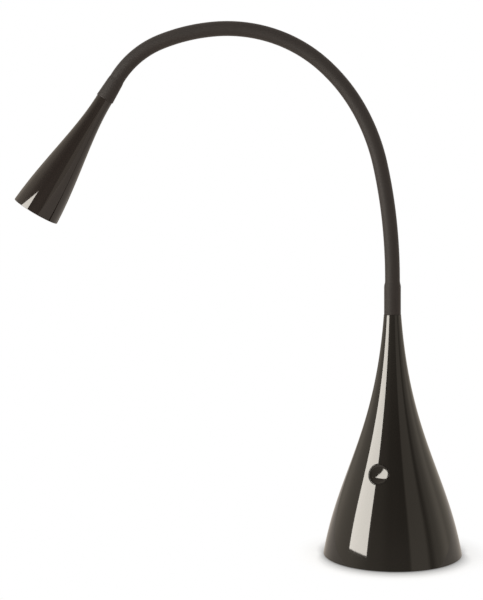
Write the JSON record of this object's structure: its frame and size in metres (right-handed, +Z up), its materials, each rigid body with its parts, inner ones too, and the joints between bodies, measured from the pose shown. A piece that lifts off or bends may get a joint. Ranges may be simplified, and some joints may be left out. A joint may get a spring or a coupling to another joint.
{
  "type": "gooseneck desk lamp",
  "caption": "Desk lamp with a trumpet-shaped weighted base, a push button, a bendable rubber-sleeved gooseneck and a slim trumpet-shaped LED head.",
  "frame": {"origin": "centre of the foot pad's underside, on the table", "axes": "+Z up along the base's axis; the head reaches towards -X in the plane Y = 0; the button is on the -Y side"},
  "size_m": [0.3556, 0.11, 0.4244],
  "materials": {
    "gloss_black": "gloss",
    "sleeve_rubber": "matte",
    "foot_rubber": "matte",
    "steel": "satin",
    "ballast_iron": "matte",
    "sink_aluminium": "satin",
    "reflector_aluminium": "polished",
    "lead_jacket": "satin",
    "board": "satin",
    "led_board": "satin",
    "electronics": "satin",
    "connector": "satin",
    "emitter": "gloss",
    "lens": "gloss"
  },
  "bodies": {
    "base": {"base_shell": "gloss_black", "base_weight": "ballast_iron", "bottom_plate": "steel", "foot_pad": "foot_rubber", "base_screws": "steel", "lower_ferrule": "steel", "ferrule_washer": "steel", "ferrule_nut": "steel", "sleeve_collar": "sleeve_rubber", "core_foot": "steel", "base_lead": "lead_jacket", "driver_board": "board", "driver_parts": "electronics", "board_screws": "steel", "lead_connector": "connector", "switch_body": "electronics", "cord_grommet": "foot_rubber"},
    "button": {"button_cap": "gloss_black", "switch_plunger": "connector"},
    "neck_1": {"sleeve_1": "sleeve_rubber", "core_1": "steel", "neck_lead_1": "lead_jacket"},
    "neck_2": {"sleeve_2": "sleeve_rubber", "core_2": "steel", "neck_lead_2": "lead_jacket"},
    "neck_3": {"sleeve_3": "sleeve_rubber", "core_3": "steel", "neck_lead_3": "lead_jacket"},
    "neck_4": {"sleeve_4": "sleeve_rubber", "core_4": "steel", "neck_lead_4": "lead_jacket"},
    "neck_5": {"sleeve_5": "sleeve_rubber", "core_5": "steel", "neck_lead_5": "lead_jacket"},
    "neck_6": {"sleeve_6": "sleeve_rubber", "core_6": "steel", "neck_lead_6": "lead_jacket"},
    "neck_7": {"sleeve_7": "sleeve_rubber", "core_7": "steel", "neck_lead_7": "lead_jacket"},
    "neck_8": {"sleeve_8": "sleeve_rubber", "core_8": "steel", "neck_lead_8": "lead_jacket"},
    "head": {"sleeve_end": "sleeve_rubber", "core_end": "steel", "upper_ferrule": "steel", "head_washer": "steel", "head_nut": "steel", "head_lead": "lead_jacket", "head_shell": "gloss_black", "heat_sink": "sink_aluminium", "led_board": "led_board", "led_screws": "steel", "led_emitter": "emitter", "reflector": "reflector_aluminium", "front_lens": "lens", "lens_ring": "gloss_black"}
  },
  "joints": [
    {"name": "neck_bend_1", "type": "hinge", "parent": "base", "child": "neck_1", "pos_m": [0, 0, 0.2185], "axis": [0, -1, 0], "range_deg": [-30, 20]},
    {"name": "neck_sway_1", "type": "hinge", "parent": "neck_1", "child": "neck_2", "pos_m": [-0.00242, 0, 0.26462], "axis": [0.9945, 0, 0.1045], "range_deg": [-20, 20]},
    {"name": "neck_bend_2", "type": "hinge", "parent": "neck_2", "child": "neck_3", "pos_m": [-0.00984, 0, 0.31019], "axis": [0, -1, 0], "range_deg": [-30, 20]},
    {"name": "neck_sway_2", "type": "hinge", "parent": "neck_3", "child": "neck_4", "pos_m": [-0.02615, 0, 0.35324], "axis": [0.8746, 0, 0.4848], "range_deg": [-20, 20]},
    {"name": "neck_bend_3", "type": "hinge", "parent": "neck_4", "child": "neck_5", "pos_m": [-0.05478, 0, 0.38924], "axis": [0, -1, 0], "range_deg": [-30, 20]},
    {"name": "neck_sway_3", "type": "hinge", "parent": "neck_5", "child": "neck_6", "pos_m": [-0.09441, 0, 0.41235], "axis": [0.3173, 0, 0.9483], "range_deg": [-20, 20]},
    {"name": "neck_bend_4", "type": "hinge", "parent": "neck_6", "child": "neck_7", "pos_m": [-0.13995, 0, 0.41814], "axis": [0, -1, 0], "range_deg": [-30, 20]},
    {"name": "neck_sway_4", "type": "hinge", "parent": "neck_7", "child": "neck_8", "pos_m": [-0.18478, 0, 0.40779], "axis": [-0.3746, 0, 0.9272], "range_deg": [-20, 20]},
    {"name": "neck_bend_5", "type": "hinge", "parent": "neck_8", "child": "head", "pos_m": [-0.21945, 0, 0.37844], "axis": [0, -1, 0], "range_deg": [-30, 20]},
    {"name": "button_press", "type": "slide", "parent": "base", "child": "button", "axis": [0.3514, 0.8697, -0.3466], "range_m": [0, 0.002], "stiffness_N_per_m": 400, "springref_m": -0.003}
  ]
}
